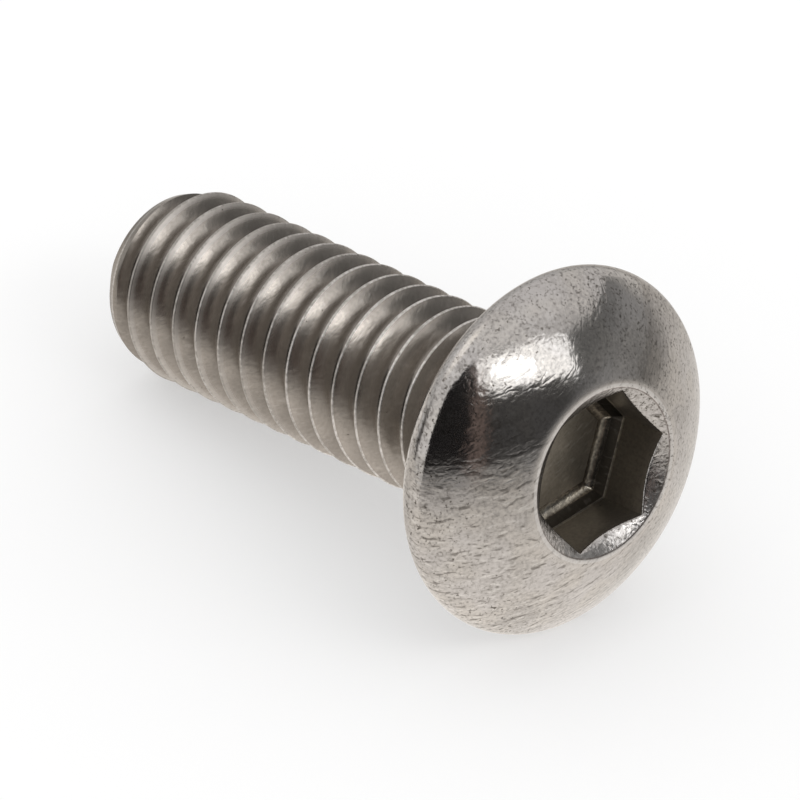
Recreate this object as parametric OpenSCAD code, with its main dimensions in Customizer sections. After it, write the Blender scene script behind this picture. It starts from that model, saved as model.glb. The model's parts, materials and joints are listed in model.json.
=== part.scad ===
// Button head screw with a hexagon socket and a full right-hand thread.
// It lies as it comes to rest: on the rim of its head and on a crest near its tip, head towards +X.
// Millimetres, +Z up, with the floor at z = 0.

/* [Head] */
// Width of the head across its rim
head_d = 5.55; // [5.2:0.05:6]
// Height of the head above its bearing face
head_h = 1.4; // [1.25:0.05:1.7]
// Radius of the rounded rim
rim_r = 0.32; // [0.15:0.01:0.38]
// Outer width of the flat ring round the socket
ring_d = 2.76; // [2.68:0.02:3]

/* [Socket] */
// Width of the hexagon across its flats
socket_w = 2.12; // [1.94:0.02:2.18]
// Width of the countersink where it meets the flat ring
mouth_d = 2.6; // [2.54:0.02:2.66]
// Slope of the countersink below the flat ring, in degrees
mouth_slope = 33; // [20:1:45]
// Depth of the straight walls below the flat ring
wall_depth = 0.86; // [0.6:0.02:0.94]
// Depth of the floor below the flat ring
socket_depth = 1.1; // [1:0.02:1.2]
// Width of the flat floor across its flats, inside the chamfer at its edge
floor_w = 1.8; // [1.5:0.05:1.9]
// Turn of the hexagon about the screw's axis, in degrees
socket_turn = 32; // [0:1:60]

/* [Thread] */
// Width over the crests
thread_d = 2.88; // [2.8:0.02:3]
// Distance from crest to crest
pitch = 0.5; // [0.4:0.05:0.6]
// Length from the bearing face to the tip
shank_l = 8; // [5:0.5:12]
// Distance from the bearing face to the nearest crest, along the side that lies down
crest_start = 0.19; // [0:0.01:0.5]
// Width of the flat tip
tip_d = 2.5; // [2.3:0.05:2.7]
// Length of the chamfer at the tip
tip_l = 0.5; // [0.2:0.05:0.8]

/* [Neck] */
// Width of the plain neck under the head
neck_d = 2.62; // [2.5:0.02:2.7]
// Length of the plain neck
neck_l = 0.42; // [0.3:0.02:0.8]
// Radius of the fillet between the neck and the bearing face
fillet_r = 0.22; // [0.2:0.02:0.28]

/* [Hidden] */

// Facets of the round faces, and segments of one turn of the thread
round_facets = 96;
turn_segments = 40;
// Overlap that keeps joined solids from only touching
overlap = 0.2;

// Head: the dome's arc is tangent to the rim's arc and ends at the flat ring
ring_r = ring_d / 2;
rim_x = head_d / 2 - rim_r;
dome_half = (ring_r ^ 2 + head_h ^ 2 - rim_x ^ 2) / 2;
dome_a = (head_h - rim_r) ^ 2 - rim_r ^ 2;
dome_b = 2 * head_h * rim_r ^ 2 - 2 * dome_half * (head_h - rim_r);
dome_c = dome_half ^ 2 - rim_r ^ 2 * (ring_r ^ 2 + head_h ^ 2);
dome_z = (-dome_b - sqrt(dome_b ^ 2 - 4 * dome_a * dome_c)) / (2 * dome_a);
dome_r = norm([ring_r, head_h - dome_z]);
// Direction from the dome's centre to where its arc meets the rim's
dome_turn = atan2(rim_r - dome_z, rim_x);

// Socket
corner_r = socket_w / sqrt(3);
mouth_r = mouth_d / 2;
floor_corner_r = floor_w / sqrt(3);
floor_z = head_h - socket_depth;
// Growth of the chamfer's corners for each step up from the floor
floor_flare = (corner_r - floor_corner_r) / (socket_depth - wall_depth);

// Thread: places are parts of one pitch from the middle of a crest, and radii are from the axis
crest_r = thread_d / 2;
root_r = crest_r - 0.6 * pitch;
root_edge_r = root_r + 0.03 * pitch;
crest_half = 0.06;
root_half = 0.16;
PROFILE = [
    [crest_half, crest_r],
    [0.5 - root_half, root_edge_r],
    [0.5, root_r],
    [0.5 + root_half, root_edge_r],
    [1 - crest_half, crest_r],
];
profile_points = len(PROFILE);
// The same profile over a whole pitch, to read a radius at any place
PROFILE_LOOP = concat([[-crest_half, crest_r]], PROFILE, [[1 + crest_half, crest_r]]);
tip_r = tip_d / 2;
neck_r = neck_d / 2;
// The thread's core goes on up inside the neck and the head
core_r = root_r - 0.05;
core_top = overlap;
// Crests run out towards the neck over this length
run_out_l = 0.8 * pitch;
// Rows closer than this to an end are moved onto it
row_gap = 0.01;
turns_below = ceil(shank_l / pitch) + 2;
turns_above = ceil(core_top / pitch) + 3;
row_count = (turns_below + turns_above) * profile_points;

// Largest radius that the tip's chamfer and the run-out under the head leave at a height
function tip_limit(z) = tip_r + (z + shank_l) * (crest_r - tip_r) / tip_l;
function neck_limit(z) = max(core_r, core_r - (z + neck_l) * (crest_r - core_r) / run_out_l);
function limit_r(z, r) = min(r, tip_limit(z), neck_limit(z));

// Height of a row of points on the column at a part of a turn
function row_z(part, row) = -crest_start
    + pitch * (floor(row / profile_points) - turns_below + PROFILE[row % profile_points][0] + part);
// Part of a pitch, from 0 to 1, at a height on a column
function place_at(part, z) = let (p = (z + crest_start) / pitch - part) p - floor(p);

// First and last rows of a column, which lie on the tip's plane and on the core's top
function first_row(part) =
    max([for (row = [0 : row_count - 1]) if (row_z(part, row) < -shank_l + row_gap) row]);
function last_row(part) =
    min([for (row = [0 : row_count - 1]) if (row_z(part, row) > core_top - row_gap) row]);
FIRST_ROWS = [for (i = [0 : turn_segments - 1]) first_row(i / turn_segments)];
LAST_ROWS = [for (i = [0 : turn_segments - 1]) last_row(i / turn_segments)];

function on_column(i, r, z) =
    let (turn = 360 * i / turn_segments) [r * cos(turn), r * sin(turn), z];
function end_r(i, z) = limit_r(z, lookup(place_at(i / turn_segments, z), PROFILE_LOOP));
function thread_point(i, row) =
    row <= FIRST_ROWS[i] ? on_column(i, end_r(i, -shank_l), -shank_l)
    : row >= LAST_ROWS[i] ? on_column(i, end_r(i, core_top), core_top)
    : let (z = row_z(i / turn_segments, row))
        on_column(i, limit_r(z, PROFILE[row % profile_points][1]), z);

// Number of a point. The column past the last is the first column, one turn further up
function point_at(i, row) = i == turn_segments ? point_at(0, row + profile_points)
    : i * row_count + min(max(row, FIRST_ROWS[i]), LAST_ROWS[i]);
function has_area(f) = f[0] != f[1] && f[1] != f[2] && f[2] != f[0];

THREAD_POINTS = concat(
    [for (i = [0 : turn_segments - 1]) for (row = [0 : row_count - 1]) thread_point(i, row)],
    [[0, 0, -shank_l], [0, 0, core_top]]
);
tip_centre = turn_segments * row_count;
top_centre = tip_centre + 1;
SIDE_FACES = [
    for (i = [0 : turn_segments - 1]) for (row = [0 : row_count - 2])
        let (
            a = point_at(i, row),
            b = point_at(i + 1, row),
            c = point_at(i + 1, row + 1),
            d = point_at(i, row + 1)
        )
        for (f = [[a, d, c], [a, c, b]]) if (has_area(f)) f
];
TIP_FACES = [
    for (i = [0 : turn_segments - 1]) [tip_centre, point_at(i, 0), point_at(i + 1, -profile_points)]
];
TOP_FACES = [
    for (i = [0 : turn_segments - 1]) [top_centre, point_at(i + 1, row_count), point_at(i, row_count)]
];

// Rest: the rim's arc and the crest that touches first give the slope of the axis
function slope_on(z) = let (fall = rim_x - limit_r(z, crest_r), run = rim_r - z)
    atan2(fall, run) + asin(rim_r / norm([fall, run]));
lay_angle = min([for (z = [-crest_start - pitch : -pitch : -shank_l]) slope_on(z)]);
rest_z = rim_r + rim_x * cos(lay_angle) - rim_r * sin(lay_angle);
x_max = head_h * cos(lay_angle) + ring_r * sin(lay_angle);
x_min = -shank_l * cos(lay_angle) - tip_r * sin(lay_angle);
x_middle = (x_min + x_max) / 2;

// Half section of the head, with the axis at x = 0 and the bearing face at y = 0
module head_section() {
    difference() {
        intersection() {
            translate([0, dome_z]) circle(dome_r, $fn = round_facets);
            square([head_d, head_h]);
        }
        // The corner that the rim's arc replaces
        polygon([
            [rim_x, rim_r],
            [rim_x, -overlap],
            [rim_x + head_d, -overlap],
            [rim_x + head_d * cos(dome_turn), rim_r + head_d * sin(dome_turn)],
        ]);
    }
    translate([rim_x, rim_r]) circle(rim_r, $fn = round_facets);
}

// Half section of the neck and its fillet, from inside the head down to the run-out of the thread
module neck_section() {
    polygon([
        [0, overlap],
        [neck_r, overlap],
        [neck_r, -neck_l],
        [root_r - 0.02, -neck_l - (neck_r - root_r + 0.02)],
        [0, -neck_l - (neck_r - root_r + 0.02)],
    ]);
    difference() {
        translate([neck_r - overlap, -fillet_r]) square([overlap + fillet_r, fillet_r + overlap]);
        translate([neck_r + fillet_r, -fillet_r]) circle(fillet_r, $fn = round_facets);
    }
}

module head() {
    rotate_extrude($fn = round_facets) head_section();
    rotate_extrude($fn = round_facets) neck_section();
}

module thread() {
    polyhedron(points = THREAD_POINTS, faces = concat(SIDE_FACES, TIP_FACES, TOP_FACES));
}

// Countersunk hexagon with a chamfer between its walls and its flat floor
module socket() {
    translate([0, 0, floor_z]) rotate(socket_turn)
        intersection() {
            cylinder(r = corner_r, h = socket_depth + overlap, $fn = 6);
            cylinder(r1 = floor_corner_r, r2 = floor_corner_r + floor_flare * head_h, h = head_h, $fn = 6);
        }
    translate([0, 0, head_h - mouth_r * tan(mouth_slope)])
        cylinder(
            r1 = 0,
            r2 = mouth_r + overlap / tan(mouth_slope),
            h = mouth_r * tan(mouth_slope) + overlap,
            $fn = round_facets
        );
}

module screw() {
    color("silver")
    translate([-x_middle, 0, rest_z])
    rotate([0, 90 - lay_angle, 0])
    difference() {
        union() {
            head();
            thread();
        }
        socket();
    }
}

screw();
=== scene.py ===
"""Fine skin, steel and studio for a button head screw that lies on its rim and its thread."""

import json
import logging
import math
from dataclasses import dataclass, field
from enum import Enum
from typing import Union

import bmesh
import bpy
import numpy as np
from mathutils import Matrix, Vector


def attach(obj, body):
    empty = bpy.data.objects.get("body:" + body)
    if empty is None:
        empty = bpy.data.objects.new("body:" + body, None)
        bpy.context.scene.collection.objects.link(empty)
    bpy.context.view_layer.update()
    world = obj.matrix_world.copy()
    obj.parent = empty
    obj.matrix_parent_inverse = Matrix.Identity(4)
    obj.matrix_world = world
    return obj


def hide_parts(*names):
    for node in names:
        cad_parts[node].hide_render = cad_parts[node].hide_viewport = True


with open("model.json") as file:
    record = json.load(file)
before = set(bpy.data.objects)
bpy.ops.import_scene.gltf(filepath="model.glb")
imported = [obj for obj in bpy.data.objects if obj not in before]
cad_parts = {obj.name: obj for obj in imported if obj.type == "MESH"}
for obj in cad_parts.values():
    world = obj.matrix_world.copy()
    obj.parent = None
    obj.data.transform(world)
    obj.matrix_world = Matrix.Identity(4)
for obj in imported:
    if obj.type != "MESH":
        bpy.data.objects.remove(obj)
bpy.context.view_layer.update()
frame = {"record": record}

LOG = logging.getLogger("screw")
MM = 0.001
DEGREES = 180 / math.pi
BLACK = (0.0, 0.0, 0.0)
WHITE = (1.0, 1.0, 1.0)
# The level about which smooth noise lies
NOISE_MIDDLE = 0.5

Number = Union[int, float]
Colour = tuple[float, float, float]
Triple = tuple[float, float, float]
Span = tuple[float, float]
Shares = tuple[float, ...]
Operand = Union["Value", Number]
Samples = Union[np.ndarray, float]


class Zone(Enum):
    """Stretches of the screw's skin that have a finish of their own."""

    FLOOR = 0
    FILLET = 1
    CORNER = 2
    EDGE = 3
    WALL = 4
    MOUTH = 5
    LIP = 6
    RING = 7
    DOME = 8
    BEARING = 9
    THREAD = 10
    CREST = 11
    TIP = 12


class Value:
    """A socket's value, on which arithmetic adds Math nodes."""

    def __init__(self, tree: "ShaderTree", socket: bpy.types.NodeSocket) -> None:
        """Wraps a socket.

        Args:
            tree: The tree that the socket's node is in.
            socket: The output socket.
        """
        self.tree = tree
        self.socket = socket

    def math(self, operation: str, *operands: Operand) -> "Value":
        """Adds one Math node.

        Args:
            operation: The node's operation.
            operands: Its inputs, in order.

        Returns:
            The node's result.
        """
        return self.tree.node("ShaderNodeMath", {"operation": operation}, dict(enumerate(operands)))

    def __add__(self, other: Operand) -> "Value":
        """This value plus another."""
        return self.math("ADD", self, other)

    def __radd__(self, other: Operand) -> "Value":
        """Another value plus this one."""
        return self.math("ADD", other, self)

    def __sub__(self, other: Operand) -> "Value":
        """This value less another."""
        return self.math("SUBTRACT", self, other)

    def __rsub__(self, other: Operand) -> "Value":
        """Another value less this one."""
        return self.math("SUBTRACT", other, self)

    def __mul__(self, other: Operand) -> "Value":
        """This value times another."""
        return self.math("MULTIPLY", self, other)

    def __rmul__(self, other: Operand) -> "Value":
        """Another value times this one."""
        return self.math("MULTIPLY", other, self)

    def __truediv__(self, other: Operand) -> "Value":
        """This value divided by another."""
        return self.math("DIVIDE", self, other)

    def __rtruediv__(self, other: Operand) -> "Value":
        """Another value divided by this one."""
        return self.math("DIVIDE", other, self)

    def __abs__(self) -> "Value":
        """This value without its sign."""
        return self.math("ABSOLUTE", self)

    def limit(self, low: Number, high: Number) -> "Value":
        """This value kept between two numbers."""
        return self.math("MINIMUM", self.math("MAXIMUM", self, low), high)

    def angle(self, operation: str, *operands: Operand) -> "Value":
        """An angle in degrees, from an operation that gives radians."""
        return DEGREES * self.math(operation, *operands)

    def rise(self, start: Number, end: Number) -> "Value":
        """A smooth step from 0 where this value is start to 1 where it is end.

        Args:
            start: Where the step begins.
            end: Where the step ends, above or below start.

        Returns:
            The step's height.
        """
        return self.tree.node(
            "ShaderNodeMapRange",
            {"interpolation_type": "SMOOTHSTEP"},
            {"Value": self, "From Min": start, "From Max": end},
        )


class ShaderTree:
    """A node tree that is written as expressions."""

    def __init__(self, owner: Union[bpy.types.Material, bpy.types.World]) -> None:
        """Empties the owner's node tree.

        Args:
            owner: The material or world that the tree belongs to.
        """
        owner.use_nodes = True
        self.tree = owner.node_tree
        self.tree.nodes.clear()

    def node(
        self,
        kind: str,
        settings: dict[str, object],
        inputs: dict[Union[int, str], object],
        output: Union[int, str] = 0,
    ) -> Value:
        """Adds one node.

        Args:
            kind: The node's type.
            settings: Its own settings, which are set first.
            inputs: Values or links of its sockets, by place or name.
            output: The output socket that is wanted.

        Returns:
            That output, or the first input of a node that has no output.
        """
        made = self.tree.nodes.new(kind)
        for name, setting in settings.items():
            setattr(made, name, setting)
        for key, given in inputs.items():
            if isinstance(given, Value):
                self.tree.links.new(given.socket, made.inputs[key])
            else:
                made.inputs[key].default_value = given
        socket = made.outputs[output] if made.outputs else made.inputs[0]
        return Value(self, socket)

    def mix(self, factor: Operand, first: object, second: object) -> Value:
        """Mixes two colours.

        Args:
            factor: 0 for the first colour and 1 for the second.
            first: A colour or a link.
            second: A colour or a link.

        Returns:
            The mixed colour.
        """
        first_socket, second_socket, result = 6, 7, 2
        inputs = {
            0: factor,
            first_socket: opaque(first),
            second_socket: opaque(second),
        }
        return self.node("ShaderNodeMix", {"data_type": "RGBA"}, inputs, result)

    def vector(self, operation: str, *operands: object, output: int = 0) -> Value:
        """Adds one Vector Math node.

        Args:
            operation: The node's operation.
            operands: Its inputs, in order.
            output: 0 for a vector and 1 for a number.

        Returns:
            The node's result.
        """
        inputs = dict(enumerate(operands))
        return self.node("ShaderNodeVectorMath", {"operation": operation}, inputs, output)

    def dot(self, first: object, second: object) -> Value:
        """The dot product of two vectors."""
        return self.vector("DOT_PRODUCT", first, second, output=1)

    def length(self, vector: Value) -> Value:
        """The length of a vector."""
        return self.vector("LENGTH", vector, output=1)

    def scale(self, vector: object, factor: Operand) -> Value:
        """A vector times a number."""
        return self.node("ShaderNodeVectorMath", {"operation": "SCALE"}, {0: vector, "Scale": factor})

    def parts(self, vector: Value) -> tuple[Value, ...]:
        """The X, Y and Z of a vector."""
        outputs = self.node("ShaderNodeSeparateXYZ", {}, {0: vector}).socket.node.outputs
        return tuple(Value(self, part) for part in outputs)

    def millimetres(self) -> Value:
        """The place on the object, in millimetres."""
        return self.scale(self.node("ShaderNodeTexCoord", {}, {}, "Object"), 1 / MM)

    def ray(self, kind: str) -> Value:
        """1 on rays of one kind, such as Is Glossy Ray, and 0 on the others."""
        return self.node("ShaderNodeLightPath", {}, {}, kind)

    def noise(
        self, place: Value, grain: float, detail: float = 2.0, rough: float = 0.5, bend: float = 0.0
    ) -> Value:
        """Smooth noise about its middle level.

        Args:
            place: Where it is read, in millimetres.
            grain: The size of its lumps, in millimetres.
            detail: How many finer layers it has.
            rough: How strong the finer layers are.
            bend: How far its lumps are bent out of shape.

        Returns:
            The noise.
        """
        return self.node(
            "ShaderNodeTexNoise",
            {},
            {"Vector": place, "Scale": 1 / grain, "Detail": detail, "Roughness": rough, "Distortion": bend},
        )


def opaque(colour: object) -> object:
    """A colour with full alpha, or the link that was given.

    Args:
        colour: Three numbers or a link.

    Returns:
        What a colour socket takes.
    """
    return colour if isinstance(colour, Value) else (*colour, 1.0)


@dataclass(frozen=True)
class Lay:
    """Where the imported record's bearing face puts the screw: its origin in millimetres and its axis."""

    origin: Triple
    axis: Triple

    @classmethod
    def read(cls) -> "Lay":
        """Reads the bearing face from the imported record.

        Returns:
            The screw's place in the row frame.
        """
        mounts = {mount["name"]: mount for mount in frame["record"]["mounts"]}
        bearing = mounts["bearing_face"]
        axis = -Vector(bearing["axis"]).normalized()
        return cls(tuple(part / MM for part in bearing["pos_m"]), tuple(axis))

    def placement(self) -> Matrix:
        """The matrix from the screw's own millimetres to the row frame.

        Returns:
            The matrix, which takes the screw's Z to its axis and its X down.
        """
        axis = Vector(self.axis)
        side = Vector((0.0, 1.0, 0.0))
        turn = Matrix((side.cross(axis), side, axis)).transposed().to_4x4()
        return Matrix.Translation(Vector(self.origin) * MM) @ turn @ Matrix.Scale(MM, 4)


@dataclass(frozen=True)
class SkinPoint:
    """The point of the screw's skin that a material shades, in millimetres."""

    tree: ShaderTree
    place: Value
    offset: Value
    along: Value
    radius: Value

    @classmethod
    def shaded(cls, tree: ShaderTree, lay: Lay) -> "SkinPoint":
        """Finds the point in a material's tree.

        Args:
            tree: The material's tree.
            lay: The screw's place.

        Returns:
            The point, with its height along the screw's axis and its distance from the axis.
        """
        place = tree.millimetres()
        offset = tree.vector("SUBTRACT", place, lay.origin)
        along = tree.dot(offset, lay.axis)
        radius = tree.length(tree.vector("CROSS_PRODUCT", offset, lay.axis))
        return cls(tree, place, offset, along, radius)


@dataclass(frozen=True)
class SteelFinish:
    """Stainless steel with a forged skin of lumps, specks and pits, painted shade and painted light on the
    lumps' slopes, and pale bands of wear and painted sheen.

    Grains, depths and distances are in millimetres. A span says where a smooth step starts and ends.
    """

    name: str

    # Colours of the steel; of the painted light on lit slopes; of its pits and of the painted shade on
    # shaded slopes and in the thread's roots; and of its pale bands of wear and painted sheen
    bright: Colour = (0.66, 0.635, 0.62)
    dull: Colour = (0.47, 0.45, 0.43)
    warm: Colour = (0.665, 0.632, 0.595)
    lit_slope_colour: Colour = (0.88, 0.86, 0.83)
    pit_and_shade: Colour = (0.13, 0.115, 0.10)
    wear_and_sheen: Colour = (0.74, 0.705, 0.67)

    # Clouds of bright and dull steel with a fine grain, and warm patches
    cloud_grain: float = 0.9
    cloud_detail: float = 3.0
    cloud_span: Span = (0.25, 0.75)
    fine_grain: float = 0.05
    fine_share: float = 0.9
    warm_patches: bool = False
    warm_grain: float = 0.7
    warm_span: Span = (0.4, 0.6)

    # Roughness, and what the clouds, the marks and the pale bands add to it
    rough: float = 0.11
    rough_spread: float = 0.04
    rough_marks: float = 0.08
    rough_pale_band: float = 0.3
    rough_limits: Span = (0.05, 0.9)

    # Lumps that lie in thin layers across one direction
    layer_axis: Triple = (0.332, -0.307, 0.892)
    layer_squeeze: float = 2.2
    lump_grain: float = 0.30
    lump_bend: float = 0.2
    lump_middle: float = 0.54
    lump_depth: float = 0.0078
    fine_relief: float = 0.06

    # Painted shade on the lumps' slopes that rise along the layer axis and painted light on those that
    # fall, with gaps in them
    slope_shading: float = 1.0
    slope_step: float = 0.025
    shaded_slope_span: Span = (0.05, 0.13)
    shaded_slope_weight: float = 0.62
    lit_slope_span: Span = (-0.05, -0.13)
    lit_slope_weight: float = 0.45
    gap_grain: float = 0.16
    gap_span: Span = (0.40, 0.58)
    gap_rest: float = 0.25

    # One side of the head on which the painted slope shading fades and the lumps are lower
    calm: float = 0.0
    calm_way: Triple = (0.16, 0.815, 0.557)
    calm_span: Span = (-1.0, 0.8)
    calm_loss: float = 0.3

    # The border of the head, which has more specks and pits
    border_span: Span = (1.8, 2.5)

    # Short dark dashes, with more of them towards one side
    specks: float = 1.0
    speck_rest: float = 0.35
    speck_border: float = 0.5
    speck_side: float = 0.8
    speck_way: Triple = (0.0, 1.0, 0.0)
    speck_span: Span = (-0.2, 1.2)
    speck_shade: float = 0.55
    speck_depth: float = 0.0003
    dash_grain: float = 0.09
    dash_bend: float = 0.5
    dash_level: float = 0.55
    dash_span: Span = (0.09, 0.0)
    dash_gap_grain: float = 0.05
    dash_gap_span: Span = (0.52, 0.62)

    # Small pits, whose dark colour is partly their own and partly painted shade
    pit_level: float = 0.27
    border_pits: float = 0.0
    pit_grain: float = 0.06
    pit_rough: float = 0.6
    pit_span: Span = (0.02, -0.06)
    pit_depth: float = 0.0004

    # Crests duller towards the tip, pale wear and painted sheen on them there, wear beside the flat ring,
    # and painted shade in the thread's roots
    tip_span: Span = (-2.5, -7.0)
    tip_fade: float = 0.0
    crest_wear_and_sheen: float = 0.0
    crest_span: Span = (1.34, 1.43)
    ring_wear: float = 0.0
    ring_span: Span = (1.5, 1.38)
    root_shade: float = 0.0
    root_span: Span = (1.42, 1.2)

    def build(self, lay: Lay) -> bpy.types.Material:
        """Makes the material.

        Args:
            lay: The screw's place, by which the marks and the pale bands are laid out.

        Returns:
            The finished material.
        """
        material = bpy.data.materials.new(self.name)
        tree = ShaderTree(material)
        point = SkinPoint.shaded(tree, lay)
        cloud = tree.noise(point.place, self.cloud_grain, self.cloud_detail)
        fine = tree.noise(point.place, self.fine_grain)
        lump = self.lumps(tree, point.place)
        calm = self.calm * tree.dot(point.offset, self.calm_way).rise(*self.calm_span)
        # Painted shade and painted light from the slopes of the lumps
        shaded_slopes, lit_slopes = self.painted_slope_masks(point, lump, calm)
        border = point.radius.rise(*self.border_span)
        specks = self.dashes(point, border)
        pits = self.pits(point, border)
        # Marks take the dark colour of the pits, which also paints the shade on the slopes
        marks = (pits + self.shaded_slope_weight * shaded_slopes + self.speck_shade * specks).limit(0.0, 1.0)
        tipward = point.along.rise(*self.tip_span)
        pale_band = self.wear_and_sheen_band(point, tipward)
        shade = (cloud + self.fine_share * (fine - NOISE_MIDDLE)).rise(*self.cloud_span)
        body = self.body(point, (shade + self.tip_fade * tipward).limit(0.0, 1.0), pale_band)
        # Painted light on the slopes that fall along the layer axis
        slope_lit_body = tree.mix(self.lit_slope_weight * lit_slopes, body, self.lit_slope_colour)
        spread = self.rough_spread * (cloud + fine - 2 * NOISE_MIDDLE)
        rough = self.rough + spread + self.rough_marks * marks + self.rough_pale_band * pale_band
        relief = abs(lump - self.lump_middle) + self.fine_relief * fine
        depth = self.lump_depth * (1 - self.calm_loss * calm)
        height = depth * relief - self.speck_depth * specks - self.pit_depth * pits
        normal = tree.node("ShaderNodeBump", {}, {"Height": height, "Distance": MM, "Strength": 1.0})
        surface = {
            "Base Color": tree.mix(marks, slope_lit_body, self.pit_and_shade),
            "Metallic": 1.0,
            "Roughness": rough.limit(*self.rough_limits),
            "Normal": normal,
        }
        shader = tree.node("ShaderNodeBsdfPrincipled", {}, surface)
        tree.node("ShaderNodeOutputMaterial", {}, {"Surface": shader})
        return material

    def lumps(self, tree: ShaderTree, place: Value) -> Value:
        """Lumps that lie in thin layers.

        Args:
            tree: The material's tree.
            place: The place on the screw, in millimetres.

        Returns:
            A high level on a lump and a low one in a hollow.
        """
        extra = self.layer_squeeze * tree.dot(place, self.layer_axis)
        layered = tree.vector("ADD", place, tree.scale(self.layer_axis, extra))
        return tree.noise(layered, self.lump_grain, bend=self.lump_bend)

    def painted_slope_masks(self, point: SkinPoint, lump: Value, calm: Value) -> tuple[Value, Value]:
        """Painted shade and painted light, which follow the slopes of the lumps along the layer axis.

        Args:
            point: The shaded point.
            lump: The lumps' level there.
            calm: How far the painted slope shading fades there.

        Returns:
            The painted shade and the painted light, 1 where they are strongest and 0 beside them.
        """
        step = tuple(self.slope_step * part for part in self.layer_axis)
        slope = self.lumps(point.tree, point.tree.vector("ADD", point.place, step)) - lump
        gaps = point.tree.noise(point.place, self.gap_grain, detail=1.0).rise(*self.gap_span)
        broken = (self.gap_rest + (1 - self.gap_rest) * gaps) * (1 - calm)
        shaded_slopes = self.slope_shading * slope.rise(*self.shaded_slope_span) * broken
        lit_slopes = self.slope_shading * slope.rise(*self.lit_slope_span) * broken
        return shaded_slopes, lit_slopes

    def dashes(self, point: SkinPoint, border: Value) -> Value:
        """Short dark dashes.

        Args:
            point: The shaded point.
            border: 0 on the inner part of the head and 1 at its rim.

        Returns:
            How strong a dash is there, and 0 between dashes.
        """
        tree = point.tree
        bent = tree.noise(point.place, self.dash_grain, detail=1.0, bend=self.dash_bend)
        line = abs(bent - self.dash_level).rise(*self.dash_span)
        dash = line * tree.noise(point.place, self.dash_gap_grain, detail=1.0).rise(*self.dash_gap_span)
        side = tree.dot(point.offset, self.speck_way).rise(*self.speck_span)
        return self.specks * dash * (self.speck_rest + self.speck_border * border + self.speck_side * side)

    def pits(self, point: SkinPoint, border: Value) -> Value:
        """Small pits.

        Args:
            point: The shaded point.
            border: 0 on the inner part of the head and 1 at its rim.

        Returns:
            1 in a pit and 0 between pits.
        """
        level = self.pit_level + self.border_pits * border
        grains = point.tree.noise(point.place, self.pit_grain, rough=self.pit_rough)
        return (grains - level).rise(*self.pit_span)

    def wear_and_sheen_band(self, point: SkinPoint, tipward: Value) -> Value:
        """Where the steel is pale: wear and painted sheen on the crests near the tip, and wear on the dome
        beside the flat ring.

        Args:
            point: The shaded point.
            tipward: 0 near the head and 1 near the tip.

        Returns:
            How far the steel is pale from wear and painted sheen.
        """
        crests = self.crest_wear_and_sheen * tipward * point.radius.rise(*self.crest_span)
        return crests + self.ring_wear * point.radius.rise(*self.ring_span)

    def body(self, point: SkinPoint, shade: Value, pale_band: Value) -> Value:
        """The steel's colour under its marks.

        Args:
            point: The shaded point.
            shade: 0 for bright steel and 1 for dull steel.
            pale_band: How far the steel is pale from wear and painted sheen.

        Returns:
            The colour.
        """
        tree = point.tree
        light = self.bright
        if self.warm_patches:
            patch = tree.noise(point.place, self.warm_grain, detail=1.0).rise(*self.warm_span)
            light = tree.mix(patch, self.bright, self.warm)
        body = tree.mix(shade, light, self.dull)
        # Painted shade in the thread's roots, in the dark colour of the pits
        body = tree.mix(self.root_shade * point.radius.rise(*self.root_span), body, self.pit_and_shade)
        return tree.mix(pale_band, body, self.wear_and_sheen)


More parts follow.
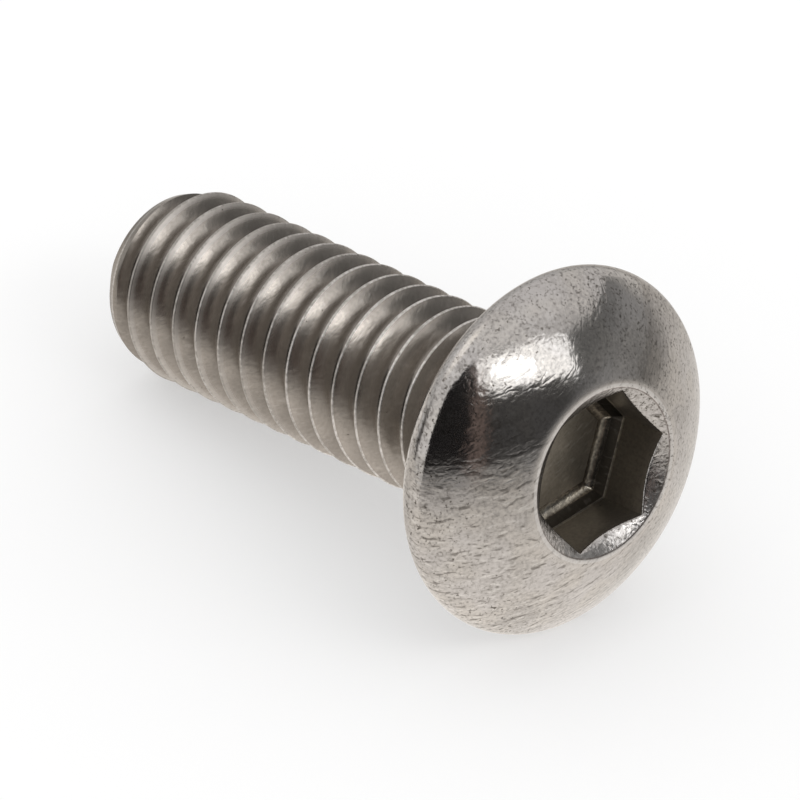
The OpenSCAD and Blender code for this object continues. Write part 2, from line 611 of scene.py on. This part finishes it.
@dataclass
class RingStack:
    """A closed skin made of rings of points round the axis, one point a column in each.

    Points closer than the weld, in millimetres, become one.
    """

    columns: int
    first_angle: float
    weld: float = 2e-5
    rings: list[tuple[np.ndarray, np.ndarray]] = field(default_factory=list)
    zones: list[Zone] = field(default_factory=list)

    def turns(self) -> np.ndarray:
        """Each column's place in turns about the axis, with the first column again at the end."""
        return self.first_angle / 360 + np.arange(self.columns + 1) / self.columns

    def add(self, radius: Samples, height: Samples, zone: Zone) -> None:
        """Adds a ring, and the faces between it and the ring before.

        Args:
            radius: Distance from the axis, one for all columns or one each.
            height: Height above the bearing face, one for all columns or one each.
            zone: The stretch of skin that the faces belong to.
        """
        ones = np.ones(self.columns + 1)
        self.rings.append((ones * radius, ones * height))
        self.zones.append(zone)

    def arc(
        self, centre: tuple[float, float], radius: float, start: float, end: float, steps: int, zone: Zone
    ) -> None:
        """Adds rings along an arc of the section.

        Args:
            centre: The arc's centre, as distance from the axis and height.
            radius: The arc's radius.
            start: Direction of the arc's start from its centre, in degrees.
            end: Direction of its end.
            steps: How many rings follow the first.
            zone: The stretch of skin that the faces belong to.
        """
        for turn in np.radians(np.linspace(start, end, steps + 1)):
            self.add(centre[0] + radius * math.cos(turn), centre[1] + radius * math.sin(turn), zone)

    def points(self, placement: Matrix) -> np.ndarray:
        """Places the points of all rings.

        Args:
            placement: Takes the screw's own millimetres to the row frame.

        Returns:
            Three coordinates for each point, in metres.
        """
        angles = 2 * np.pi * np.mod(self.turns(), 1.0)
        radius = np.array([ring[0] for ring in self.rings])
        height = np.array([ring[1] for ring in self.rings])
        local = np.stack([radius * np.cos(angles), radius * np.sin(angles), height], axis=-1)
        matrix = np.array(placement)
        return local.reshape(-1, 3) @ matrix[:3, :3].T + matrix[:3, 3]

    def faces(self) -> np.ndarray:
        """Joins each ring to the next.

        Returns:
            Four numbers of points for each face.
        """
        across = self.columns + 1
        low = np.arange(len(self.rings) - 1)[:, None] * across + np.arange(self.columns)[None, :]
        return np.stack([low, low + 1, low + across + 1, low + across], axis=-1).reshape(-1, 4)

    def mesh(self, name: str, placement: Matrix) -> bpy.types.Mesh:
        """Makes one closed mesh of the rings.

        Args:
            name: The mesh's name.
            placement: Takes the screw's own millimetres to the row frame.

        Returns:
            The mesh, with each face's zone as its material's number.
        """
        mesh = bpy.data.meshes.new(name)
        mesh.from_pydata(self.points(placement).tolist(), [], self.faces().tolist())
        numbers = np.repeat([zone.value for zone in self.zones[1:]], self.columns)
        mesh.polygons.foreach_set("material_index", numbers.astype(np.int32))
        work = bmesh.new()
        work.from_mesh(mesh)
        bmesh.ops.remove_doubles(work, verts=work.verts, dist=self.weld * MM)
        bmesh.ops.dissolve_degenerate(work, edges=work.edges, dist=self.weld * MM)
        bmesh.ops.recalc_face_normals(work, faces=work.faces)
        open_edges = sum(1 for edge in work.edges if len(edge.link_faces) != 2)
        for face in work.faces:
            face.smooth = True
        work.to_mesh(mesh)
        work.free()
        LOG.info("%s: %d faces, %d open edges", name, len(mesh.polygons), open_edges)
        return mesh


@dataclass(frozen=True)
class KeySocket:
    """Countersunk hexagon socket with a chamfered floor, in millimetres and degrees."""

    top: float
    edge: float
    sides: int = 6
    width: float = 2.12
    wall_depth: float = 0.86
    depth: float = 1.1
    floor_width: float = 1.8
    floor_fillet: float = 0.2
    mouth_radius: float = 1.3
    mouth_slope: float = 33.0
    turn: float = 32.0

    # Softened corners: the wall's foot, its head, and the lip between countersink and flat ring
    foot_in: float = 0.003
    foot_up: float = 0.001
    head_cut: float = 0.004
    lip_drop: float = 0.003

    # Places of the rings on the floor, the fillet and the walls
    floor_shares: Shares = (0.0, 0.3, 0.6, 0.85, 1.0)
    fillet_steps: int = 6
    wall_shares: Shares = (0.25, 0.5, 0.75, 1.0)

    def wall(self, turns: np.ndarray) -> np.ndarray:
        """Distance of the hexagon's walls from the axis.

        Args:
            turns: The columns' places, in turns.

        Returns:
            One distance for each column.
        """
        side_angle = 360 / self.sides
        from_flat = np.mod(turns * 360 - self.turn, side_angle) - side_angle / 2
        return self.width / 2 / np.cos(np.radians(from_flat))

    def floor_section(self) -> list[tuple[float, float, Zone]]:
        """Half section through the middle of a flat, from the floor's middle to the foot of the wall.

        Returns:
            Distances from the axis, heights above the floor and zones.
        """
        half = self.floor_width / 2
        foot = self.width / 2
        lift = self.depth - self.wall_depth
        rise = math.atan2(lift, foot - half)
        start = half - self.floor_fillet * math.tan(rise / 2)
        section = [(share * start, 0.0, Zone.FLOOR) for share in self.floor_shares]
        for turn in np.linspace(0.0, rise, self.fillet_steps + 1)[1:]:
            across = start + self.floor_fillet * math.sin(turn)
            section.append((across, self.floor_fillet * (1 - math.cos(turn)), Zone.FILLET))
        before_foot = (foot - self.edge * math.cos(rise), lift - self.edge * math.sin(rise))
        section.append((*before_foot, Zone.CORNER))
        section.append((foot - self.foot_in, lift + self.foot_up, Zone.EDGE))
        section.append((foot, lift + self.edge, Zone.EDGE))
        return section

    def build(self, stack: RingStack) -> None:
        """Adds the socket's rings, from the middle of its floor out to its mouth.

        Args:
            stack: The skin that is being made.
        """
        wall = self.wall(stack.turns())
        floor = self.top - self.depth
        slope = math.tan(math.radians(self.mouth_slope))
        for across, height, zone in self.floor_section():
            stack.add(across / (self.width / 2) * wall, floor + height, zone)
        wall_foot = self.top - self.wall_depth + self.edge
        wall_head = self.top - (self.mouth_radius - wall) * slope
        for share in self.wall_shares:
            stack.add(wall, wall_foot + share * (wall_head - self.edge - wall_foot), Zone.WALL)
        stack.add(wall + self.head_cut, wall_head - self.head_cut, Zone.MOUTH)
        stack.add(wall + self.edge, wall_head + self.edge * slope, Zone.MOUTH)
        middle = (wall + self.mouth_radius) / 2
        stack.add(middle, self.top - (self.mouth_radius - middle) * slope, Zone.MOUTH)
        stack.add(self.mouth_radius - self.edge, self.top - self.edge * slope, Zone.MOUTH)
        stack.add(self.mouth_radius, self.top - self.lip_drop, Zone.LIP)
        stack.add(self.mouth_radius + self.edge, self.top, Zone.RING)

    def finishes(self, axis: Triple) -> dict[Zone, SteelFinish]:
        """The finishes of the socket.

        Args:
            axis: The screw's axis, along which the marks on the walls are drawn out.

        Returns:
            A finish for each of its zones.
        """
        floor = SteelFinish(
            "socket_floor",
            rough=0.42,
            fine_share=0.3,
            slope_shading=0.3,
            specks=0.2,
            bright=(0.46, 0.42, 0.355),
            dull=(0.27, 0.245, 0.205),
        )
        fillet = SteelFinish(
            "socket_fillet",
            rough=0.22,
            slope_shading=0.3,
            specks=0.2,
            bright=(0.50, 0.455, 0.375),
            dull=(0.18, 0.163, 0.138),
        )
        # Nearly black steel in the corner between the floor's fillet and the walls: painted shade
        corner = SteelFinish(
            "socket_corner_painted_shade", rough=0.3, slope_shading=0.2, bright=(0.10, 0.091, 0.077), dull=(0.08, 0.073, 0.062)
        )
        # Paler steel at the wall's foot, which paints a thin highlight line there
        edge = SteelFinish("socket_edge_painted_highlight", rough=0.3, slope_shading=0.3, bright=(0.64, 0.60, 0.52))
        wall = SteelFinish(
            "socket_wall",
            rough=0.4,
            layer_axis=axis,
            layer_squeeze=-0.93,
            lump_grain=0.05,
            lump_depth=0.004,
            slope_shading=0.3,
            specks=0.2,
            bright=(0.40, 0.366, 0.32),
            dull=(0.31, 0.284, 0.25),
        )
        mouth = SteelFinish(
            "countersink",
            rough=0.22,
            layer_squeeze=0.6,
            lump_grain=0.12,
            lump_depth=0.013,
            specks=1.6,
            pit_level=0.32,
        )
        # Darker steel on the lip between countersink and flat ring: a painted line of shade
        lip = SteelFinish("lip_painted_shade", rough=0.3, bright=(0.42, 0.38, 0.36), dull=(0.28, 0.25, 0.24))
        return {
            Zone.FLOOR: floor,
            Zone.FILLET: fillet,
            Zone.CORNER: corner,
            Zone.EDGE: edge,
            Zone.WALL: wall,
            Zone.MOUTH: mouth,
            Zone.LIP: lip,
        }


@dataclass(frozen=True)
class ButtonHead:
    """Domed head with a rounded rim, a flat ring round its socket and a plain neck, in millimetres."""

    diameter: float = 5.55
    height: float = 1.4
    rim: float = 0.32
    ring_radius: float = 1.38
    neck_radius: float = 1.31
    neck_length: float = 0.42
    fillet: float = 0.22
    edge: float = 0.02

    # Rings of the head's stretches, and degrees from the dome's last ring to the rim's first
    dome_steps: int = 44
    rim_steps: int = 18
    rim_lead: float = 4.0
    bearing_shares: Shares = (0.25, 0.5, 0.75)
    fillet_steps: int = 8

    def rim_centre(self) -> float:
        """Distance of the rim's centre from the axis."""
        return self.diameter / 2 - self.rim

    def dome(self) -> tuple[float, float]:
        """The dome's arc, which is tangent to the rim's and ends at the flat ring.

        Returns:
            The height of its centre and its radius.
        """
        reach = self.height - self.rim
        ring = self.ring_radius**2 + self.height**2
        half = (ring - self.rim_centre() ** 2) / 2
        # The height of the centre is a root of this quadratic
        square = reach**2 - self.rim**2
        linear = 2 * self.height * self.rim**2 - 2 * half * reach
        constant = half**2 - self.rim**2 * ring
        centre = (-linear - math.sqrt(linear**2 - 4 * square * constant)) / (2 * square)
        return centre, math.hypot(self.ring_radius, self.height - centre)

    def build(self, stack: RingStack) -> None:
        """Adds the head's rings, from the flat ring to the end of the neck.

        Args:
            stack: The skin that is being made.
        """
        rim_x = self.rim_centre()
        centre, radius = self.dome()
        ring_turn = math.degrees(math.atan2(self.height - centre, self.ring_radius))
        rim_turn = math.degrees(math.atan2(self.rim - centre, rim_x))
        edge_turn = math.degrees(self.edge / radius)
        stack.add(self.ring_radius - self.edge, self.height, Zone.RING)
        stack.arc((0.0, centre), radius, ring_turn - edge_turn, rim_turn, self.dome_steps, Zone.DOME)
        stack.arc((rim_x, self.rim), self.rim, rim_turn - self.rim_lead, -90.0, self.rim_steps, Zone.DOME)
        foot = self.neck_radius + self.fillet
        for share in self.bearing_shares:
            stack.add(rim_x + share * (foot - rim_x), 0.0, Zone.BEARING)
        stack.arc((foot, -self.fillet), self.fillet, 90.0, 180.0, self.fillet_steps, Zone.BEARING)
        stack.add(self.neck_radius, -self.neck_length, Zone.THREAD)

    def finishes(self) -> dict[Zone, SteelFinish]:
        """The finishes of the head.

        Returns:
            A finish for each of its zones.
        """
        ring = SteelFinish(
            "matte_ring", rough=0.36, bright=(0.84, 0.82, 0.80), dull=(0.76, 0.74, 0.72), slope_shading=0.3
        )
        dome = SteelFinish("forged_dome", border_pits=0.08, warm_patches=True, calm=0.85, ring_wear=0.6)
        # The bearing face is darker steel, which paints the shade under the head
        bearing = SteelFinish(
            "bearing_face", rough=0.3, slope_shading=0.5, bright=(0.42, 0.40, 0.375), dull=(0.34, 0.322, 0.30)
        )
        return {Zone.RING: ring, Zone.DOME: dome, Zone.BEARING: bearing}


@dataclass(frozen=True)
class ThreadedShank:
    """Right-hand thread from the end of the neck down to a chamfered tip, in millimetres."""

    neck_length: float
    neck_radius: float
    crest_radius: float = 1.44
    pitch: float = 0.5
    length: float = 8.0
    crest_start: float = 0.19
    depth: float = 0.3
    run_out: float = 0.4
    tip_radius: float = 1.25
    tip_length: float = 0.5

    # Places of the thread's form, in parts of a pitch from the middle of a crest
    crest_flat: float = 0.012
    crest_middle: float = 0.03
    crest_blend: float = 0.05
    flank_middle: float = 0.2
    flank_end: float = 0.34
    root_places: Shares = (0.39, 0.44)
    root_middle: float = 0.5

    # Turns past both ends, whose rings fall together there, and the rings of the flat tip
    turns_above: int = 2
    turns_below: int = 3
    tip_shares: Shares = (0.985, 0.8, 0.5, 0.2, 0.0)

    def places(self) -> list[float]:
        """Places of the rings over one pitch, from one root's middle to just short of the next.

        Returns:
            Parts of a pitch above the middle of a crest, from the highest to the lowest.
        """
        crest = [self.crest_flat, self.crest_middle, self.crest_blend]
        half = [*crest, self.flank_middle, self.flank_end, *self.root_places]
        return [self.root_middle, *reversed(half)] + [-place for place in half]

    def fall(self, place: np.ndarray) -> np.ndarray:
        """How far the thread lies under its crest.

        Args:
            place: Parts of a pitch from the nearest crest.

        Returns:
            The distance under the crest.
        """
        away = np.abs(place)
        crest_width = self.crest_blend - self.crest_flat
        root_width = self.root_middle - self.flank_end
        slope = self.depth / (crest_width / 2 + self.flank_end - self.crest_blend + root_width / 2)
        crest = slope * np.clip(away - self.crest_flat, 0, crest_width) ** 2 / (2 * crest_width)
        flank = slope * np.clip(away - self.crest_blend, 0, self.flank_end - self.crest_blend)
        root = np.clip(away - self.flank_end, 0, root_width)
        return crest + flank + slope * (root - root**2 / (2 * root_width))

    def radius(self, turns: np.ndarray, height: np.ndarray) -> np.ndarray:
        """The thread's distance from the axis.

        Args:
            turns: The columns' places, in turns.
            height: Heights above the bearing face.

        Returns:
            One distance for each place.
        """
        place = (height + self.crest_start) / self.pitch - turns
        thread = self.crest_radius - self.fall(place - np.round(place))
        share = np.clip((-self.neck_length - height) / self.run_out, 0, 1)
        eased = share * share * (3 - 2 * share)
        thread = self.neck_radius + eased * (thread - self.neck_radius)
        widening = self.crest_radius - self.tip_radius
        chamfer = self.tip_radius + (height + self.length) * widening / self.tip_length
        return np.minimum(thread, chamfer)

    def build(self, stack: RingStack) -> None:
        """Adds the thread's rings, which follow its helix, and closes the tip.

        Args:
            stack: The skin that is being made.
        """
        turns = stack.turns()
        below = math.ceil(self.length / self.pitch) + self.turns_below
        for turn in range(self.turns_above, -below, -1):
            for place in self.places():
                height = self.pitch * (turn + place + turns) - self.crest_start
                height = np.clip(height, -self.length, -self.neck_length)
                on_crest = -self.crest_blend <= place < self.crest_blend
                stack.add(self.radius(turns, height), height, Zone.CREST if on_crest else Zone.THREAD)
        end = self.radius(turns, np.full_like(turns, -self.length))
        for share in self.tip_shares:
            stack.add(share * end, -self.length, Zone.TIP)

    def finishes(self) -> dict[Zone, SteelFinish]:
        """The finishes of the shank.

        Returns:
            A finish for each of its zones.
        """
        thread = SteelFinish(
            "rolled_thread",
            rough=0.22,
            lump_depth=0.004,
            slope_shading=0.15,
            specks=0.3,
            bright=(0.425, 0.391, 0.355),
            dull=(0.362, 0.332, 0.301),
            root_shade=0.4,
            # Pale band on the crests near the tip, partly wear and partly a painted soft highlight
            crest_wear_and_sheen=0.6,
        )
        # Pale crests, partly their own steel and partly painted highlight lines, duller towards the tip
        crest = SteelFinish(
            "pale_crest_painted_highlight",
            rough=0.3,
            lump_depth=0.004,
            slope_shading=0.4,
            bright=(0.82, 0.79, 0.765),
            dull=(0.46, 0.435, 0.405),
            tip_fade=0.55,
        )
        tip = SteelFinish(
            "cut_tip", rough=0.34, slope_shading=0.8, bright=(0.46, 0.435, 0.405), dull=(0.34, 0.315, 0.285)
        )
        return {Zone.THREAD: thread, Zone.CREST: crest, Zone.TIP: tip}


@dataclass(frozen=True)
class Screw:
    """The whole screw as one closed skin, dressed zone by zone."""

    columns: int = 240
    sharp_angle: float = 40.0
    head: ButtonHead = field(default_factory=ButtonHead)
    lay: Lay = field(default_factory=Lay.read)

    def socket(self) -> KeySocket:
        """The socket, which starts at the head's flat ring."""
        return KeySocket(top=self.head.height, edge=self.head.edge)

    def shank(self) -> ThreadedShank:
        """The shank, which starts at the end of the head's neck."""
        return ThreadedShank(self.head.neck_length, self.head.neck_radius)

    def build(self) -> bpy.types.Object:
        """Makes the screw's skin, with a column of points on each corner of the socket.

        Returns:
            The screw's object.
        """
        socket = self.socket()
        stack = RingStack(self.columns, socket.turn % (360 / self.columns))
        socket.build(stack)
        self.head.build(stack)
        self.shank().build(stack)
        mesh = stack.mesh("screw_skin", self.lay.placement())
        mesh.set_sharp_from_angle(angle=math.radians(self.sharp_angle))
        piece = bpy.data.objects.new("screw_skin", mesh)
        bpy.context.scene.collection.objects.link(piece)
        return piece

    def dress(self, piece: bpy.types.Object) -> None:
        """Gives each zone its finish, and puts the piece in the part's place.

        Args:
            piece: The screw's object.
        """
        finishes = self.socket().finishes(self.lay.axis) | self.head.finishes() | self.shank().finishes()
        for zone in Zone:
            piece.data.materials.append(finishes[zone].build(self.lay))
        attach(piece, "root")
        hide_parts("screw")


@dataclass(frozen=True)
class Sector:
    """Headings between two soft borders, in degrees round the vertical from the head's end."""

    first: Span
    last: Span

    def mask(self, heading: Value) -> Value:
        """1 between the borders and 0 outside them."""
        return heading.rise(*self.first) * heading.rise(*self.last)


@dataclass(frozen=True)
class Floor:
    """White floor, which the steel mirrors as a warm one that gets darker with distance.

    Lengths are in millimetres, and headings in degrees round the vertical from the head's end.
    """

    size: float = 800.0
    colour: Colour = (0.97, 0.97, 0.97)
    glow: float = 0.4
    tint: Colour = (1.0, 0.955, 0.905)

    # The mirrored level, near the head and far from it
    middle: Triple = (3.0, 0.0, 0.0)
    near: float = 0.84
    far: float = 0.28
    fade: float = 14.0

    # Far stretches that are brighter, left and right of the head
    left_gain: float = 0.25
    left_span: Span = (-55.0, -85.0)
    right_gain: float = 0.1
    right_span: Span = (45.0, 70.0)
    gain_distance: Span = (5.0, 25.0)

    # Darker stretches: a patch far off on the right, the back left, and the whole right side
    patch: Sector = Sector((42.0, 60.0), (90.0, 76.0))
    patch_distance: Span = (10.0, 26.0)
    patch_loss: float = 0.45
    back: Sector = Sector((-165.0, -145.0), (-95.0, -130.0))
    back_loss: float = 0.17
    side_span: Span = (-75.0, 15.0)
    side_loss: float = 0.16

    def mirrored(self, tree: ShaderTree) -> Value:
        """The level at which the steel mirrors the floor.

        Args:
            tree: The floor's tree.

        Returns:
            The level, where 1 is white.
        """
        away = tree.vector("SUBTRACT", tree.millimetres(), self.middle)
        distance = tree.length(away)
        ahead, side = tree.parts(away)[:2]
        heading = side.angle("ARCTAN2", side, ahead)
        left = self.left_gain * heading.rise(*self.left_span)
        right = self.right_gain * heading.rise(*self.right_span)
        far = self.far + (left + right) * distance.rise(*self.gain_distance)
        patch = self.patch_loss * self.patch.mask(heading) * distance.rise(*self.patch_distance)
        back = self.back_loss * self.back.mask(heading)
        whole = self.side_loss * heading.rise(*self.side_span)
        dim = (1 - patch) * (1 - back) * (1 - whole)
        return (far + self.near / (1 + distance / self.fade)) * dim

    def dress(self, mesh: bpy.types.Mesh) -> None:
        """Makes the floor's material.

        Args:
            mesh: The floor's mesh.
        """
        material = bpy.data.materials.new("floor")
        tree = ShaderTree(material)
        tint = tree.mix(self.mirrored(tree), BLACK, self.tint)
        lit = tree.node("ShaderNodeBsdfDiffuse", {}, {"Color": opaque(self.colour)})
        white = tree.node("ShaderNodeEmission", {}, {"Color": opaque(WHITE)})
        plain = tree.node("ShaderNodeMixShader", {}, {0: self.glow, 1: lit, 2: white})
        mirrored = tree.node("ShaderNodeEmission", {}, {"Color": tint})
        shader = tree.node("ShaderNodeMixShader", {}, {0: tree.ray("Is Glossy Ray"), 1: plain, 2: mirrored})
        tree.node("ShaderNodeOutputMaterial", {}, {"Surface": shader})
        mesh.materials.append(material)

    def build(self) -> None:
        """Lays the floor under the screw."""
        half = self.size / 2 * MM
        corners = [(-half, -half, 0), (half, -half, 0), (half, half, 0), (-half, half, 0)]
        mesh = bpy.data.meshes.new("floor")
        mesh.from_pydata(corners, [], [(0, 1, 2, 3)])
        floor = bpy.data.objects.new("floor", mesh)
        bpy.context.scene.collection.objects.link(floor)
        self.dress(mesh)


@dataclass(frozen=True)
class Tent:
    """Pale tent with an opening in front towards a dark room, which only the steel mirrors.

    Headings are degrees round the vertical from the head's end, and heights are degrees above the floor.
    """

    # Even light for the floor, and the tent's cloth
    fill: float = 0.99
    cloth: Colour = (0.78, 0.765, 0.757)
    cloth_right: Colour = (0.68, 0.662, 0.652)
    cloth_low: Colour = (0.66, 0.643, 0.626)
    right_span: Span = (10.0, 80.0)
    low_span: Span = (-2.0, 28.0)

    # Shade low down behind the tip, paler on the right and straight behind
    shade: Colour = (0.13, 0.124, 0.119)
    shade_pale: Colour = (0.60, 0.59, 0.58)
    shade_span: Span = (112.0, 126.0)
    shade_height: Span = (29.0, 17.0)
    pale_left: Span = (-132.0, -148.0)
    pale_right: Span = (-10.0, 10.0)
    pale_right_share: float = 0.85
    pale_far_right: Span = (145.0, 178.0)

    # Round light high up behind the tip
    back_light: Colour = (1.15, 1.11, 1.06)
    back_light_way: Triple = (-0.573, -0.268, 0.775)
    back_light_span: Span = (22.0, 8.0)

    # The opening, whose top falls to the right and whose bottom drops there
    opening: Sector = Sector((-70.0, -66.0), (91.0, 80.0))
    top_height: float = 53.5
    top_fall: float = 0.433
    top_limit: float = 52.0
    top_edge: Span = (2.0, -2.0)
    bottom_height: float = 0.6
    bottom_drop: float = 12.0
    bottom_span: Span = (10.0, 45.0)
    bottom_edge: Span = (-11.0, 11.0)

    # The room, from black on the left to grey on the right, with a leaning brown streak
    black: Colour = (0.012, 0.011, 0.011)
    charcoal: Colour = (0.062, 0.060, 0.059)
    charcoal_span: Span = (-27.0, -15.0)
    grey_low: Colour = (0.30, 0.295, 0.29)
    grey_high: Colour = (0.165, 0.165, 0.163)
    grey_height: Span = (4.0, 24.0)
    grey_span: Span = (14.0, 44.0)
    brown: Colour = (0.16, 0.12, 0.105)
    streak_heading: float = -27.0
    streak_height: float = 8.0
    streak_lean: float = 0.2286
    streak_span: Span = (6.0, 1.0)

    def open_mask(self, heading: Value, height: Value) -> Value:
        """Where the tent is open towards the dark room in front.

        Args:
            heading: Direction round the vertical.
            height: Direction above the floor.

        Returns:
            1 in the opening and 0 in the tent.
        """
        top = (self.top_height - self.top_fall * heading).limit(0.0, self.top_limit)
        bottom = self.bottom_height - self.bottom_drop * heading.rise(*self.bottom_span)
        inside = (height - top).rise(*self.top_edge) * (height - bottom).rise(*self.bottom_edge)
        return inside * self.opening.mask(heading)

    def room(self, tree: ShaderTree, heading: Value, height: Value) -> Value:
        """Colours of the dark room.

        Args:
            tree: The world's tree.
            heading: Direction round the vertical.
            height: Direction above the floor.

        Returns:
            The room's colour in that direction.
        """
        colour = tree.mix(heading.rise(*self.charcoal_span), self.black, self.charcoal)
        grey = tree.mix(height.rise(*self.grey_height), self.grey_low, self.grey_high)
        colour = tree.mix(heading.rise(*self.grey_span), colour, grey)
        lean = self.streak_lean * (height - self.streak_height)
        streak = abs(heading - self.streak_heading - lean).rise(*self.streak_span)
        return tree.mix(streak, colour, self.brown)

    def inside(self, tree: ShaderTree, way: Value) -> Value:
        """What the steel mirrors in each direction.

        Args:
            tree: The world's tree.
            way: The direction.

        Returns:
            The colour of the tent or of the room.
        """
        ahead, side, up = tree.parts(way)
        heading = side.angle("ARCTAN2", side, ahead)
        height = up.angle("ARCSINE", up)
        high = tree.mix(heading.rise(*self.right_span), self.cloth, self.cloth_right)
        tent = tree.mix(height.rise(*self.low_span), self.cloth_low, high)
        far_right = (1 - self.pale_right_share) * heading.rise(*self.pale_far_right)
        right = heading.rise(*self.pale_right) * (self.pale_right_share + far_right)
        shade = tree.mix(heading.rise(*self.pale_left) + right, self.shade, self.shade_pale)
        behind = abs(heading).rise(*self.shade_span) * height.rise(*self.shade_height)
        tent = tree.mix(behind, tent, shade)
        nearness = tree.dot(way, self.back_light_way)
        back_turn = nearness.angle("ARCCOSINE", nearness)
        tent = tree.mix(back_turn.rise(*self.back_light_span), tent, self.back_light)
        return tree.mix(self.open_mask(heading, height), tent, self.room(tree, heading, height))

    def build(self) -> None:
        """Makes the world: white to the camera, even fill for the floor, and the tent for the steel."""
        world = bpy.data.worlds.new("studio")
        bpy.context.scene.world = world
        tree = ShaderTree(world)
        way = tree.node("ShaderNodeTexCoord", {}, {}, "Generated")
        colour = tree.mix(tree.ray("Is Glossy Ray"), (self.fill,) * 3, self.inside(tree, way))
        colour = tree.mix(tree.ray("Is Camera Ray"), colour, WHITE)
        shader = tree.node("ShaderNodeBackground", {}, {"Color": colour, "Strength": 1.0})
        tree.node("ShaderNodeOutputWorld", {}, {"Surface": shader})


@dataclass(frozen=True)
class Softbox:
    """Flat lamp over the tent's opening, turned to the origin, in millimetres.

    At a level of 1 its face is white, and its shift moves it along its width.
    """

    name: str
    width: float
    height: float
    level: float
    shift: float = 0.0
    distance: float = 350.0
    axis: Triple = (0.7515, 0.1597, 0.6401)
    along: Triple = (0.0361, 0.9588, -0.2816)

    def build(self) -> None:
        """Hangs the lamp."""
        back = Vector(self.axis).normalized()
        along = Vector(self.along)
        along = (along - back * along.dot(back)).normalized()
        turn = Matrix((along, back.cross(along), back)).transposed().to_4x4()
        lamp = bpy.data.lights.new(self.name, "AREA")
        lamp.shape = "RECTANGLE"
        lamp.size = self.width * MM
        lamp.size_y = self.height * MM
        lamp.energy = self.level * math.pi * lamp.size * lamp.size_y
        holder = bpy.data.objects.new(self.name, lamp)
        middle = back + along * (self.shift / self.distance)
        holder.matrix_world = Matrix.Translation(middle * (self.distance * MM)) @ turn
        bpy.context.scene.collection.objects.link(holder)


@dataclass(frozen=True)
class Studio:
    """Floor, tent, and a softbox with a brighter middle."""

    floor: Floor = Floor()
    tent: Tent = Tent()
    softbox: Softbox = Softbox("softbox", width=283.5, height=94.5, level=1.45)
    # The middle hangs just in front of the softbox, so that the steel mirrors both
    middle: Softbox = Softbox(
        "softbox_middle", width=119.07, height=39.69, level=2.0, shift=-39.69, distance=349.9
    )

    def build(self) -> None:
        """Sets up all of it."""
        for part in (self.floor, self.tent, self.softbox, self.middle):
            part.build()


@dataclass(frozen=True)
class Viewpoint:
    """The photograph's camera in the row frame, in millimetres and degrees."""

    place: Triple = (98.671, -90.894, 106.637)
    heading: float = 137.253
    drop: float = 38.058
    lens: float = 526.8
    sensor: float = 36.0
    nearest: float = 10.0
    farthest: float = 10000.0

    def build(self) -> None:
        """Makes the camera and gives it to the scene."""
        data = bpy.data.cameras.new("camera")
        data.sensor_width = self.sensor
        data.lens = self.lens
        data.clip_start = self.nearest * MM
        data.clip_end = self.farthest * MM
        heading = math.radians(self.heading)
        drop = math.radians(self.drop)
        level = math.cos(drop)
        look = Vector((math.cos(heading) * level, math.sin(heading) * level, -math.sin(drop)))
        camera = bpy.data.objects.new("camera", data)
        camera.location = Vector(self.place) * MM
        camera.rotation_mode = "QUATERNION"
        camera.rotation_quaternion = look.to_track_quat("-Z", "Y")
        bpy.context.scene.collection.objects.link(camera)
        bpy.context.scene.camera = camera


def main() -> None:
    """Builds the camera, the studio and the screw."""
    logging.basicConfig(level=logging.INFO, format="%(name)s: %(message)s")
    bpy.context.scene.view_settings.view_transform = "Standard"
    Viewpoint().build()
    Studio().build()
    screw = Screw()
    piece = screw.build()
    screw.dress(piece)
    LOG.info("dressed %s", piece.name)


if __name__ == "__main__":
    main()
